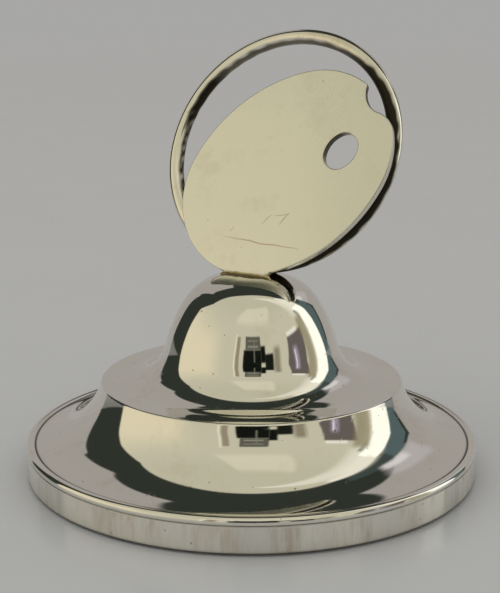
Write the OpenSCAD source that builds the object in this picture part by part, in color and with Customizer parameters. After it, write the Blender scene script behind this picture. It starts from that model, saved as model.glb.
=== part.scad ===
// Table number holder on a round loaded base.
// A stepped silver base with a domed centre carries two uprights: a flat plate
// cut to the shape of an artist's palette and, behind it, a ring of round wire.
// The number card stands on the dome, in the slot between plate and ring.
// +Z is up, the plate faces -Y and the origin is on the table below the dome.

/* [Base shell] */
// Greatest diameter of the base, across the bead
base_d = 38; // [32:0.5:50]
// Height of the flat tier above the table
tier_z = 7.85; // [6.5:0.05:11]
// Diameter of the flat tier at its shoulder
tier_d = 25.3; // [22:0.1:30]
// Radius of the hollow flare between rim and tier
flare_r = 6.55; // [6:0.05:9]
// Thickness of the spun sheet
shell_wall = 0.5; // [0.3:0.05:0.8]
// Radius that rounds the shoulder of the tier
shoulder_r = 0.22; // [0.1:0.01:0.4]

/* [Rim] */
// Height of the foot of the flare, where it meets the bead
crease_z = 2.8; // [2.6:0.05:3.6]
// Diameter of the bead round the rim
bead_d = 0.76; // [0.5:0.02:1.1]
// How far the bead stands out from the band below it
bead_proud = 0.08; // [0.02:0.01:0.2]
// Width of the lip turned in under the base
lip_w = 1.9; // [1:0.1:3]

/* [Dome] */
// Diameter of the dome at its waist, where its side turns into the hollow foot
dome_d = 14.46; // [13.6:0.02:16]
// Height of the waist above the tier
waist_h = 2.95; // [2:0.05:3.4]
// Lean of the dome's side at the waist
waist_lean = 13.6; // [8:0.2:16]
// Thickness left at the edge of the hollow foot
foot_edge = 0.06; // [0.04:0.01:0.15]
// Height of the dome above the tier
dome_h = 8.8; // [7:0.1:11]
// Radius that rounds the dome over at the top
dome_top_r = 4.65; // [3.5:0.05:5.4]
// Diameter of the flat on top of the dome
dome_flat_d = 3.4; // [2.4:0.1:4.4]
// Ledge of the tier left inside the dome's waist, round the filling hole
dome_ledge = 0.8; // [0.4:0.1:3]

/* [Loading] */
// Thickness of the closing disc
disc_t = 1; // [0.6:0.1:1.3]
// Free play between the closing disc and the band
disc_play = 0.1; // [0.05:0.05:0.3]
// How far the felt stands below the lip
felt_proud = 0.2; // [0.1:0.05:0.5]
// Gap that the filling leaves as it cools
fill_gap = 0.02; // [0.01:0.01:0.05]

/* [Uprights] */
// Angle at which plate and ring lean back
lean = 25.5; // [10:0.5:35]
// Sideways set of the ring from the axis
upright_x = -0.45; // [-1:0.05:1]
// Place of the ring's foot behind the axis
ring_y = 1.5; // [1.3:0.05:2]
// Slot between the plate and the ring, for the card
card_gap = 0.5; // [0.3:0.05:1]

/* [Ring] */
// Diameter of the ring at the middle of its wire
ring_d = 20.8; // [17:0.1:26]
// Diameter of the wire
wire_d = 1.32; // [1:0.02:1.6]
// Depth filed off the ring's foot so that it seats
foot_filed = 0.15; // [0.05:0.01:0.25]

/* [Palette] */
// Thickness of the plate
plate_t = 0.6; // [0.4:0.05:0.9]
// Half the length of the palette's oval
oval_half_l = 10.13; // [9:0.05:12]
// Half the width of the palette's oval
oval_half_w = 8.1; // [7.7:0.05:8.6]
// Radius of the oval's two ends
oval_end_r = 7.44; // [6.8:0.02:7.6]
// Tilt of the oval's long axis from the level
oval_tilt = 43; // [35:1:50]
// Centre of the oval to the right of the ring's foot
oval_x = 1.67; // [0.5:0.05:2.5]
// Centre of the oval up the slope from the ring's foot
oval_v = 7.88; // [7.5:0.05:8.5]
// Width of the plate's foot
foot_w = 4.4; // [3:0.1:5]
// Set of the plate's foot to the right of the ring's foot
foot_x = 0.2; // [-0.5:0.05:0.5]
// Radius of the finger notch in the palette's edge
notch_r = 2.05; // [1.6:0.05:2.4]
// Depth of the finger notch
notch_depth = 1.1; // [0.8:0.05:1.4]
// Turn of the notch from the oval's long axis
notch_turn = 1; // [-8:0.5:8]
// Radius of the corner above the notch
notch_tip_r = 0.5; // [0.3:0.05:0.8]
// Radius of the corner below the notch
notch_heel_r = 2.2; // [1.5:0.1:2.6]

/* [Thumb hole] */
// Half the length of the thumb hole
hole_half_l = 1.64; // [1.3:0.02:2]
// Half the width of the thumb hole
hole_half_w = 1.32; // [1.1:0.02:1.5]
// Radius of the thumb hole's two ends
hole_end_r = 1.2; // [1:0.02:1.3]
// Tilt of the thumb hole from the level
hole_tilt = 58; // [40:1:75]
// Centre of the thumb hole along the oval's long axis
hole_along = 5; // [4:0.1:6]
// Centre of the thumb hole to the right of the long axis
hole_across = 1.75; // [1:0.05:2.5]

/* [Solder] */
// Radius of the hollow fillet in front of the plate's foot
plate_fillet_r = 0.6; // [0.4:0.02:0.8]
// How far the fillet runs past each end of the plate's foot
plate_fillet_end = 0.25; // [0.1:0.05:0.5]
// Radius of the hollow fillet behind the ring's foot
ring_fillet_r = 0.9; // [0.5:0.05:1.2]
// Length of the fillet behind the ring's foot
ring_fillet_l = 2.4; // [1.6:0.1:3]
// Depth by which the fillets' arcs are cut deeper, so that their edges end clean
fillet_bite = 0.02; // [0.01:0.005:0.04]

/* [Hidden] */
$fn = 96;

base_r = base_d / 2;
tier_r = tier_d / 2;
bead_r = bead_d / 2;
band_r = base_r - bead_proud;
crease_r = base_r - bead_d;
shell_z = felt_proud;
lip_top = shell_z + shell_wall;
disc_top = lip_top + disc_t;
bead_z = crease_z - bead_d / 4;

// Centre of the flare: flare_r away from both the crease and the tier's edge.
flare_c = meet([crease_r, crease_z], flare_r, [tier_r, tier_z], flare_r, -1);
// Shoulder arc: touches the tier's plane and the flare's circle from outside.
shoulder_c = [flare_c.x - sqrt((flare_r + shoulder_r) ^ 2 - (flare_c.y - tier_z + shoulder_r) ^ 2),
              tier_z - shoulder_r];
shoulder_end = shoulder_c + (flare_c - shoulder_c) * shoulder_r / (flare_r + shoulder_r);

dome_r = dome_d / 2;
dome_flat_r = dome_flat_d / 2;
dome_top = tier_z + dome_h;
fill_hole_r = dome_r - shell_wall - dome_ledge;
// The hollow foot runs out level on the tier. From the waist the side arc runs
// smoothly into the top arc, which ends level at the flat. The radii of the foot
// and of the side follow from that.
waist = [dome_r, tier_z + waist_h];
waist_dir = [cos(waist_lean), sin(waist_lean)];
top_c = [dome_flat_r, dome_top - dome_top_r];
reach = waist - top_c;
side_r = (reach * reach - dome_top_r ^ 2) / (2 * (reach * waist_dir - dome_top_r));
side_c = waist - waist_dir * side_r;
arc_dir = (top_c - side_c) / norm(top_c - side_c);
foot_arc_r = waist_h / (1 - waist_dir.y);
foot_arc_c = waist + waist_dir * foot_arc_r;
foot_r = foot_arc_c.x - sqrt(foot_arc_r ^ 2 - (foot_arc_r - foot_edge) ^ 2);

ring_r = ring_d / 2;
wire_r = wire_d / 2;
ring_z = dome_top + wire_r - foot_filed;
plate_back = wire_r + card_gap;

oval_dir = [cos(oval_tilt), sin(oval_tilt)];
end_c = [oval_x, oval_v] + oval_dir * (oval_half_l - oval_end_r);
notch_dir = [cos(oval_tilt + notch_turn), sin(oval_tilt + notch_turn)];
notch_c = end_c + notch_dir * (oval_end_r + notch_r - notch_depth);
hole_c = [oval_x, oval_v] + oval_dir * hole_along + [oval_dir.y, -oval_dir.x] * hole_across;

// Seen from the side, as [y, z]: the middle of the wire at the ring's foot, the
// corner between dome and plate, and the centres of the two fillets' arcs.
wire_c = [ring_y, ring_z];
plate_front = plate_back + plate_t;
corner = [ring_y - (plate_front + (ring_z - dome_top) * sin(lean)) / cos(lean), dome_top];
corner_run = plate_fillet_r * tan(45 - lean / 2);
plate_fillet_c = corner + [-corner_run, plate_fillet_r];
ring_fillet_c = meet(wire_c, wire_r + ring_fillet_r, top_c, dome_top_r + ring_fillet_r, 1);

// Room for the cutting shapes: past the greatest size of the holder.
far = base_d + ring_d + dome_top;

// Point where two circles meet; side is 1 or -1 and picks one of the two.
function meet(c1, r1, c2, r2, side) =
    let (gap = norm(c2 - c1), dir = (c2 - c1) / gap)
    let (along = (gap ^ 2 + r1 ^ 2 - r2 ^ 2) / (2 * gap))
    let (off = sqrt(r1 ^ 2 - along ^ 2))
    c1 + dir * along + side * off * [-dir.y, dir.x];

// Half section of the base from the axis out, every face set in by inset.
module base_section(inset) {
    translate([0, shell_z])
        square([band_r - inset, crease_z - shell_z - inset]);
    difference() {
        translate([0, shell_z])
            square([crease_r, tier_z - shell_z - inset]);
        translate(flare_c)
            circle(r = flare_r + inset);
    }
}

// Sharp corner outside the shoulder's arc, as a patch to cut away.
module shoulder_patch() {
    polygon([shoulder_c, [shoulder_c.x, tier_z + shoulder_r], [tier_r + shoulder_r, tier_z + shoulder_r],
             shoulder_end]);
}

// Half section of the dome from the axis out, its curved faces set in by inset.
module dome_section(inset) {
    side = side_r - inset;
    top = dome_top_r - inset;
    join_z = top_c.y + top * arc_dir.y;
    difference() {
        translate([0, tier_z])
            square([foot_r, side_c.y + side * waist_dir.y - tier_z]);
        translate(foot_arc_c)
            circle(r = foot_arc_r + inset);
    }
    intersection() {
        translate([0, tier_z])
            square([dome_r, join_z - tier_z]);
        translate(side_c)
            circle(r = side);
    }
    translate([0, tier_z])
        square([dome_flat_r, dome_h - inset]);
    intersection() {
        translate([0, top_c.y])
            square([dome_r, top]);
        translate(top_c)
            circle(r = top);
    }
}

// Oval drawn with four arcs, its long axis along X.
module oval(half_l, half_w, end_r) {
    end_x = half_l - end_r;
    side_r = (half_w ^ 2 + end_x ^ 2 - end_r ^ 2) / (2 * (half_w - end_r));
    side_y = side_r - half_w;
    join_x = end_x * side_r / (side_r - end_r);
    intersection() {
        translate([0, -side_y])
            circle(r = side_r);
        translate([0, side_y])
            circle(r = side_r);
        square([2 * join_x, 2 * half_w], center = true);
    }
    for (s = [-1, 1])
        translate([s * end_x, 0])
            circle(r = end_r);
}

// Centre of the arc that rounds the corner between the oval's end and the notch.
function corner_c(r, side) = meet(end_c, oval_end_r - r, notch_c, notch_r + r, side);

// Sharp corner outside that arc, as a four-sided patch to cut away.
module corner_patch(r, side) {
    c = corner_c(r, side);
    tip = meet(end_c, oval_end_r, notch_c, notch_r, side);
    polygon([c,
             c + (notch_c - c) * r / (notch_r + r),
             tip + (tip - c) * notch_tip_r / notch_r,
             end_c + (c - end_c) * oval_end_r / (oval_end_r - r)]);
}

// Oval with its foot and finger notch, before the thumb hole is cut.
module palette_blank() {
    foot_low = dome_top - ring_z - plate_front;
    difference() {
        union() {
            translate([oval_x, oval_v])
                rotate(oval_tilt)
                    oval(oval_half_l, oval_half_w, oval_end_r);
            translate([foot_x - foot_w / 2, foot_low])
                square([foot_w, oval_v - foot_low]);
        }
        translate(notch_c)
            circle(r = notch_r);
        corner_patch(notch_tip_r, 1);
        corner_patch(notch_heel_r, -1);
    }
    translate(corner_c(notch_tip_r, 1))
        circle(r = notch_tip_r);
    translate(corner_c(notch_heel_r, -1))
        circle(r = notch_heel_r);
}

// Outline of the palette, X to the right and Y up the slope from the ring's foot.
module palette_outline() {
    difference() {
        palette_blank();
        translate(hole_c)
            rotate(hole_tilt)
                oval(hole_half_l, hole_half_w, hole_end_r);
    }
}

// Stands a flat shape up in the plane of the ring: X stays, Y runs up the slope.
module upright() {
    translate([upright_x, ring_y, ring_z])
        rotate([90 - lean, 0, 0])
            children();
}

// Everything under the level of the dome's flat top.
module below_dome_top() {
    translate([-far / 2, -far / 2, dome_top - far])
        cube(far);
}

// Extrudes a Y-Z section along X, centred on x.
module along_x(x, length) {
    translate([x - length / 2, 0, 0])
        rotate([90, 0, 90])
            linear_extrude(length)
                children();
}

// Spun silver shell: turned-in lip, band, bead, hollow flare, shoulder and tier.
module base_shell() {
    color("silver")
    rotate_extrude() {
        difference() {
            base_section(0);
            difference() {
                base_section(shell_wall);
                square([base_r, lip_top]);
            }
            square([band_r - lip_w, lip_top]);
            square([fill_hole_r, far]);
            shoulder_patch();
        }
        translate(shoulder_c)
            circle(r = shoulder_r);
        translate([base_r - bead_r, bead_z])
            circle(r = bead_r);
    }
}

// Hollow bell-shaped dome, its foot run out thin on the tier.
module dome_cap() {
    color("silver")
    rotate_extrude()
        difference() {
            dome_section(0);
            dome_section(shell_wall);
        }
}

// Pitch that weights the base and backs the thin sheet.
module pitch_filling() {
    inset = shell_wall + fill_gap;
    color("#3a2a20")
    rotate_extrude() {
        difference() {
            base_section(inset);
            square([base_r, disc_top]);
        }
        translate([0, disc_top])
            square([fill_hole_r - fill_gap, tier_z - disc_top]);
        dome_section(inset);
    }
}

// Card disc that closes the base; the lip is turned over its edge.
module closing_disc() {
    color("#8a7454")
    translate([0, 0, lip_top])
        cylinder(r = band_r - shell_wall - disc_play, h = disc_t);
}

// Felt glued under the disc, inside the lip: what the holder stands on.
module felt_pad() {
    color("#2f5a3c")
    cylinder(r = band_r - lip_w - disc_play, h = lip_top);
}

// Palette plate with its thumb hole, finger notch and foot.
module palette_plate() {
    color("#d9d4c0")
    difference() {
        upright()
            translate([0, 0, plate_back])
                linear_extrude(plate_t)
                    palette_outline();
        below_dome_top();
    }
}

// Ring of round wire with a small flat filed at its foot.
module ring_wire() {
    color("silver")
    difference() {
        upright()
            translate([0, ring_r, 0])
                rotate_extrude()
                    translate([ring_r, 0])
                        circle(r = wire_r);
        below_dome_top();
    }
}

// Solder run along the front of the plate's foot.
module palette_solder() {
    color("#b79a5c")
    difference() {
        along_x(upright_x + foot_x, foot_w + 2 * plate_fillet_end)
            difference() {
                polygon([corner + [-corner_run, -wire_r],
                         corner + [-corner_run, 0],
                         corner + corner_run * [sin(lean), cos(lean)],
                         corner,
                         corner + [0, -wire_r]]);
                translate(plate_fillet_c)
                    circle(r = plate_fillet_r + fillet_bite);
            }
        rotate_extrude()
            dome_section(0);
    }
}

// Solder run up behind the ring's foot.
module ring_solder() {
    color("#c9c3ae")
    difference() {
        along_x(upright_x, ring_fillet_l)
            difference() {
                polygon([wire_c, ring_fillet_c, top_c]);
                translate(ring_fillet_c)
                    circle(r = ring_fillet_r + fillet_bite);
                translate(wire_c)
                    circle(r = wire_r);
            }
        rotate_extrude()
            dome_section(0);
    }
}

base_shell();
dome_cap();
pitch_filling();
closing_disc();
felt_pad();
palette_plate();
ring_wire();
palette_solder();
ring_solder();
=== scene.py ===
"""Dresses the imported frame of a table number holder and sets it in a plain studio.

The holder is polished silver: a stepped, loaded base with a dome, and on the
dome a leaning palette plate with a ring of wire behind it. Lengths are in
millimetres until a mesh is written. +Z is up and the plate faces -Y.
"""

import logging
import math
from dataclasses import dataclass
from enum import Enum
from functools import reduce

import bpy
import numpy as np
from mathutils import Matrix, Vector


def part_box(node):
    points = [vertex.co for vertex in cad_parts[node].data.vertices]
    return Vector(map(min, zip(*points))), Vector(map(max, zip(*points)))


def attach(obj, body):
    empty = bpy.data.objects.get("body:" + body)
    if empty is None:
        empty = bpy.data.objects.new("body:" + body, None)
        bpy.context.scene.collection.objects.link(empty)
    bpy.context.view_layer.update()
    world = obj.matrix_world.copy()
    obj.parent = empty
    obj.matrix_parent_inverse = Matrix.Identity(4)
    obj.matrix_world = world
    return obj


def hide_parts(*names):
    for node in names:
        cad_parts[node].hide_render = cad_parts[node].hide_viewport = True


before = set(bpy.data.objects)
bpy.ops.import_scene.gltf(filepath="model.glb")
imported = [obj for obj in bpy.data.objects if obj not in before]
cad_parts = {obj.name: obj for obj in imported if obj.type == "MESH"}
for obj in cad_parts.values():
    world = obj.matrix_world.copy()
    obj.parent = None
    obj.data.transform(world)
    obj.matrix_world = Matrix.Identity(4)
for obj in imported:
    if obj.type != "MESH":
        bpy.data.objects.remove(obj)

MM = 0.001
TURN = 2 * np.pi
# Sines in the unevenness of hand work, and the radius within which it dies away to an axis.
WAVES = 9
FLAT_RADIUS = 2.0
SHARP = math.radians(40)
Colour = tuple[float, float, float]

log = logging.getLogger("table_number_holder")


class Slot(Enum):
    """Material slots of the record, which the log names beside each piece."""

    SHEET = "silver_sheet"
    PLATE = "silver_plate"
    WIRE = "silver_wire"
    SOLDER = "solder"
    PITCH = "pitch"
    CARD = "card"
    FELT = "felt"


class Side(Enum):
    """Which of the two meeting points of a pair of circles is wanted."""

    LEFT = 1.0
    RIGHT = -1.0


# ---------------------------------------------------------------- curves


def span(node: str) -> tuple[np.ndarray, np.ndarray]:
    """Lowest and highest corner, in millimetres, of the box of a node of the frame."""
    low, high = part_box(node)
    return np.array(low) / MM, np.array(high) / MM


def arc(centre: np.ndarray, radius: float, start: float, end: float, count: int) -> np.ndarray:
    """Centre plus radius times (cosine, sine), for count angles from start to end, in radians."""
    angle = np.linspace(start, end, count)[:, None]
    return np.asarray(centre) + radius * np.hstack([np.cos(angle), np.sin(angle)])


def line(start: tuple[float, float], end: tuple[float, float], count: int) -> np.ndarray:
    """A straight run of count points that crowd towards both ends, as one minus a cosine does."""
    share = (1 - np.cos(np.linspace(0, np.pi, count)))[:, None] / 2
    return np.asarray(start) * (1 - share) + np.asarray(end) * share


def bearing(start: np.ndarray, end: np.ndarray) -> float:
    """Angle, in radians, of the way from start to end."""
    return math.atan2(end[1] - start[1], end[0] - start[0])


def meet(c1: np.ndarray, r1: float, c2: np.ndarray, r2: float, side: Side) -> np.ndarray:
    """Where two circles meet: along the line of centres by the half-chord rule, then off it.

    Args:
        c1: Centre of the first circle.
        r1: Its radius.
        c2: Centre of the second circle.
        r2: Its radius.
        side: Left or right of the way from the first centre to the second.

    Returns:
        The point.
    """
    gap = np.linalg.norm(c2 - c1)
    way = (c2 - c1) / gap
    along = (gap**2 + r1**2 - r2**2) / (2 * gap)
    off = math.sqrt(r1**2 - along**2)
    return c1 + way * along + side.value * off * np.array([-way[1], way[0]])


def chain(*runs: np.ndarray) -> np.ndarray:
    """Joins runs of points end to end and drops each point that repeats the one before it.

    Args:
        *runs: Arrays with a point in each row.

    Returns:
        One array of points.
    """
    points = np.concatenate([np.atleast_2d(run) for run in runs])
    step = np.linalg.norm(np.diff(points, axis=0), axis=1)
    return points[np.concatenate([[True], step > 1e-4])]


def ripple(u: np.ndarray, v: np.ndarray, waves: int, seed: int) -> np.ndarray:
    """Smooth unevenness about zero: sines of u, which close on themselves, and of v.

    The sines are added and divided by the root of their number, so the sum seldom passes 2.

    Args:
        u: Angle round the piece, in radians.
        v: Place across it, in millimetres.
        waves: How many sines are added.
        seed: Start of the random draw.

    Returns:
        The unevenness at each point.
    """
    draw = np.random.default_rng(seed)
    round_u = draw.integers(2, 15, waves)
    along_v = draw.uniform(0.2, 1.3, waves)
    phase = draw.uniform(0, TURN, waves)
    total = sum(np.sin(n * u + k * v + p) for n, k, p in zip(round_u, along_v, phase))
    return total / math.sqrt(waves)


def near(points: np.ndarray, spot: tuple[float, ...] | np.ndarray, reach: float) -> np.ndarray:
    """A bell curve of the points' distance from a spot: 1 there, about a third at reach."""
    gap = np.linalg.norm(points - np.asarray(spot), axis=-1)
    return np.exp(-((gap / reach) ** 2))


def between(
    x: np.ndarray, low: float | np.ndarray, high: float | np.ndarray, soft: float
) -> np.ndarray:
    """Is 1 where x is between low and high, and fades evenly over soft to each side of both."""
    opened = np.clip((x - low) / (2 * soft) + 0.5, 0, 1)
    return opened * np.clip((high - x) / (2 * soft) + 0.5, 0, 1)


def follow(x: np.ndarray, table: tuple[tuple[float, float], ...]) -> np.ndarray:
    """Reads a table of pairs at x, straight between one pair and the next."""
    return np.interp(x, *zip(*table))


# ---------------------------------------------------------------- meshes


def grid_faces(rows: int, columns: int, close_rows: bool, close_columns: bool) -> np.ndarray:
    """Four-cornered faces of a grid of points that is numbered row by row.

    Args:
        rows: Points along the first way.
        columns: Points along the second way.
        close_rows: Whether the last row joins the first.
        close_columns: Whether the last column joins the first.

    Returns:
        Four point numbers for each face.
    """
    i = np.arange(rows if close_rows else rows - 1)[:, None]
    j = np.arange(columns if close_columns else columns - 1)[None, :]
    i2, j2 = (i + 1) % rows, (j + 1) % columns
    corners = [i * columns + j, i * columns + j2, i2 * columns + j2, i2 * columns + j]
    return np.stack([c.ravel() for c in corners], -1)


def fan(hub: int, start: int, count: int, back: bool = False) -> list[list[int]]:
    """Three-cornered faces between a hub and a closed ring of points.

    Args:
        hub: Number of the point in the middle.
        start: Number of the ring's first point.
        count: How many points the ring has.
        back: Whether the faces run backwards round it.

    Returns:
        Three point numbers for each face.
    """
    k = np.arange(count)
    ring = (start + k, start + (k + 1) % count)
    return np.stack([np.full(count, hub), *(ring[::-1] if back else ring)], -1).tolist()


def outward(points: np.ndarray, faces: list[list[int]]) -> list[list[int]]:
    """Turns the faces of a closed piece so that they point away from its inside.

    The sum of corner 0 dot (corner 1 cross corner 2) over the faces is positive if they do.

    Args:
        points: The piece's points.
        faces: Its faces.

    Returns:
        The faces, all turned round where the sum is negative.
    """
    fans = [(f[0], f[k], f[k + 1]) for f in faces for k in range(1, len(f) - 1)]
    a, b, c = (points[np.array(fans)[:, k]] for k in range(3))
    volume = np.einsum("ij,ij->i", a, np.cross(b, c)).sum()
    return faces if volume > 0 else [f[::-1] for f in faces]


@dataclass(frozen=True)
class Dress:
    """What a finished piece needs to know: its finish, its slot and the nodes it stands for."""

    finish: bpy.types.Material
    slot: Slot
    stands_for: tuple[str, ...] = ()


def make_piece(
    name: str,
    points: np.ndarray,
    faces: list[list[int]],
    dress: Dress,
    grime_and_shade: np.ndarray | None = None,
) -> bpy.types.Object:
    """Writes a closed mesh, gives it its finish and lets it ride on the frame.

    Args:
        name: Name of the piece.
        points: Its points, in millimetres.
        faces: Its faces, as point numbers.
        dress: Its finish, its slot and the nodes that it stands for.
        grime_and_shade: How dark each point is with old polish and with painted shade, from 0 to
            1.

    Returns:
        The piece, with its place in its mesh.
    """
    mesh = bpy.data.meshes.new(name)
    mesh.from_pydata((points * MM).tolist(), [], outward(points, faces))
    mesh.polygons.foreach_set("use_smooth", np.ones(len(mesh.polygons), bool))
    mesh.set_sharp_from_angle(angle=SHARP)
    held = mesh.attributes.new("grime_and_shade", "FLOAT", "POINT")
    amount = np.zeros(len(points)) if grime_and_shade is None else np.clip(grime_and_shade, 0, 1)
    held.data.foreach_set("value", amount.astype(np.float32).ravel())
    mesh.materials.append(dress.finish)
    mesh.update()
    piece = bpy.data.objects.new(name, mesh)
    bpy.context.scene.collection.objects.link(piece)
    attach(piece, "root")
    if dress.stands_for:
        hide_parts(*dress.stands_for)
    log.info("%s: %d points, %d faces, %s", name, len(points), len(faces), dress.slot.value)
    return piece


def revolve(
    name: str,
    profile: np.ndarray,
    dress: Dress,
    turns: int,
    uneven: float,
    seed: int,
    grime_and_shade: np.ndarray | None = None,
) -> bpy.types.Object:
    """Turns a profile about Z: a point (r, z) becomes (r cos a, r sin a, z) at each angle a.

    A profile that starts and ends on the axis is closed by a fan of faces at
    each pole, and one that does not is closed end to end.

    Args:
        name: Name of the piece.
        profile: Points (r, z), in millimetres.
        dress: Its finish, its slot and the nodes that it stands for.
        turns: How many angles.
        uneven: Greatest rise or fall of the hand-worked surface.
        seed: Start of the random draw of that unevenness.
        grime_and_shade: How dark each point of the profile is.

    Returns:
        The piece.
    """
    poles = profile[0, 0] < 1e-6
    way = np.roll(profile, -1, 0) - np.roll(profile, 1, 0)
    way /= np.maximum(np.linalg.norm(way, axis=1, keepdims=True), 1e-9)
    angle = np.linspace(0, TURN, turns, endpoint=False)[None, :]
    level = np.clip(profile[:, :1] / FLAT_RADIUS, 0, 1)
    rise = uneven * ripple(angle, profile[:, :1], WAVES, seed) * level
    r = profile[:, :1] + rise * way[:, 1:]
    z = profile[:, 1:] - rise * way[:, :1]
    points = np.stack([r * np.cos(angle), r * np.sin(angle), z], -1)
    dark = np.zeros(len(profile)) if grime_and_shade is None else grime_and_shade
    dark = np.repeat(dark[:, None], turns, 1)
    if not poles:
        faces = grid_faces(len(profile), turns, True, True).tolist()
        return make_piece(name, points.reshape(-1, 3), faces, dress, dark)
    body = points[1:-1].reshape(-1, 3)
    faces = grid_faces(len(profile) - 2, turns, False, True).tolist()
    faces += fan(len(body), 0, turns, back=True)
    faces += fan(len(body) + 1, len(body) - turns, turns)
    ends = np.array([[0, 0, profile[0, 1]], [0, 0, profile[-1, 1]]])
    dark = np.concatenate([dark[1:-1].ravel(), [dark[0, 0], dark[-1, 0]]])
    return make_piece(name, np.concatenate([body, ends]), faces, dress, dark)


# ---------------------------------------------------------------- node trees


Socket = bpy.types.NodeSocket


class Graph:
    """Adds nodes to one node tree and joins them."""

    def __init__(self, tree: bpy.types.NodeTree) -> None:
        """Takes the tree that the nodes go into."""
        self.tree = tree

    def add(self, kind: str, inputs: dict | None = None, **settings: object) -> bpy.types.Node:
        """Adds one node.

        Args:
            kind: The node's type name.
            inputs: For each input, by name or number, a value or the socket that feeds it.
            **settings: Properties of the node.

        Returns:
            The node.
        """
        node = self.tree.nodes.new(kind)
        for name, value in settings.items():
            setattr(node, name, value)
        self.feed(node, inputs or {})
        return node

    def feed(self, node: bpy.types.Node, inputs: dict) -> None:
        """Sets inputs of a node, or joins them to other nodes.

        Args:
            node: The node.
            inputs: For each input, by name or number, a value or the socket that feeds it.
        """
        for key, value in inputs.items():
            if isinstance(value, Socket):
                self.tree.links.new(value, node.inputs[key])
            else:
                node.inputs[key].default_value = value

    def use(self, tree: bpy.types.NodeTree, *values: float | Socket) -> Socket:
        """Adds a shared group with its inputs, in order, and gives its first output."""
        return self.add("ShaderNodeGroup", dict(enumerate(values)), node_tree=tree).outputs[0]

    def math(self, operation: str, *values: float | Socket, clamp: bool = False) -> Socket:
        """Adds a Math node; clamp keeps its output from 0 to 1."""
        inputs = dict(enumerate(values))
        return self.add("ShaderNodeMath", inputs, operation=operation, use_clamp=clamp).outputs[0]

    def times(self, first: Socket, *others: float | Socket) -> Socket:
        """Multiplies values, one after the other."""
        return reduce(lambda a, b: self.math("MULTIPLY", a, b), others, first)

    def ease(
        self, value: Socket, low: float, high: float, start: float = 0.0, end: float = 1.0
    ) -> Socket:
        """Goes smoothly from start to end while value goes from low to high.

        Args:
            value: What is followed.
            low: Where the change starts.
            high: Where it ends.
            start: Result up to low.
            end: Result from high on.

        Returns:
            The eased value.
        """
        inputs = {"Value": value, "From Min": low, "From Max": high}
        inputs |= {"To Min": start, "To Max": end}
        node = self.add("ShaderNodeMapRange", inputs, interpolation_type="SMOOTHSTEP")
        return node.outputs["Result"]

    def window(self, value: Socket, low: float, high: float, soft: float) -> Socket:
        """Is 1 while value lies between low and high, and fades over soft on each side.

        Args:
            value: What is followed.
            low: Lower edge.
            high: Upper edge.
            soft: Half the width of each fading edge.

        Returns:
            The mask.
        """
        opened = self.ease(value, low - soft, low + soft)
        closed = self.ease(value, high - soft, high + soft, 1.0, 0.0)
        return self.times(opened, closed)

    def mix(self, share: float | Socket, a: object, b: object) -> Socket:
        """Mixes two colours: a share of 0 gives the first and 1 the second."""
        inputs = {0: share, 6: shade(a), 7: shade(b)}
        return self.add("ShaderNodeMix", inputs, data_type="RGBA").outputs[2]

    def noise(
        self, vector: Socket, scale: float | Socket, detail: float = 2.0, rough: float = 0.5
    ) -> Socket:
        """Adds a Noise Texture.

        Args:
            vector: Where it is read.
            scale: Waves in a metre, about.
            detail: How many finer layers are added.
            rough: How strong the finer layers are.

        Returns:
            Its factor.
        """
        inputs = {"Vector": vector, "Scale": scale, "Detail": detail, "Roughness": rough}
        return self.add("ShaderNodeTexNoise", inputs).outputs["Fac"]

    def turned(
        self, vector: Socket, turn: tuple[float, float, float], scale: tuple[float, float, float]
    ) -> Socket:
        """Turns coordinates about X, Y and Z, in radians, and stretches them along these."""
        inputs = {"Vector": vector, "Rotation": turn, "Scale": scale}
        return self.add("ShaderNodeMapping", inputs).outputs[0]

    def bump(self, height: Socket, depth: float) -> Socket:
        """Gives the normals of a surface that stands depth millimetres high where height is 1."""
        inputs = {"Height": height, "Distance": depth * MM}
        return self.add("ShaderNodeBump", inputs).outputs[0]

    def bounced(self) -> Socket:
        """Is 1 on light paths that come from a polished or a clear surface."""
        path = self.add("ShaderNodeLightPath").outputs
        return self.math("MAXIMUM", path["Is Glossy Ray"], path["Is Transmission Ray"])


def shade(colour: object) -> object:
    """Adds an alpha of 1 to a colour of three numbers and lets a socket through."""
    return colour if isinstance(colour, Socket) else (*colour, 1.0)


def new_group(name: str, inputs: dict[str, str], outputs: dict[str, str]) -> Graph:
    """Starts a shader node group with named sockets.

    Args:
        name: Name of the group.
        inputs: Name and socket type of each input.
        outputs: Name and socket type of each output.

    Returns:
        The group's graph; its first two nodes are the group's input and output.
    """
    tree = bpy.data.node_groups.new(name, "ShaderNodeTree")
    for names, way in ((inputs, "INPUT"), (outputs, "OUTPUT")):
        for label, kind in names.items():
            tree.interface.new_socket(label, in_out=way, socket_type=kind)
    graph = Graph(tree)
    graph.add("NodeGroupInput")
    graph.add("NodeGroupOutput")
    return graph


def close_group(graph: Graph, results: dict[str, Socket]) -> bpy.types.NodeTree:
    """Joins the results to a group's output.

    Args:
        graph: The group's graph.
        results: The socket for each output.

    Returns:
        The group's tree.
    """
    graph.feed(graph.tree.nodes[1], results)
    return graph.tree


FLOAT, VECTOR, COLOUR = "NodeSocketFloat", "NodeSocketVector", "NodeSocketColor"


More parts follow.
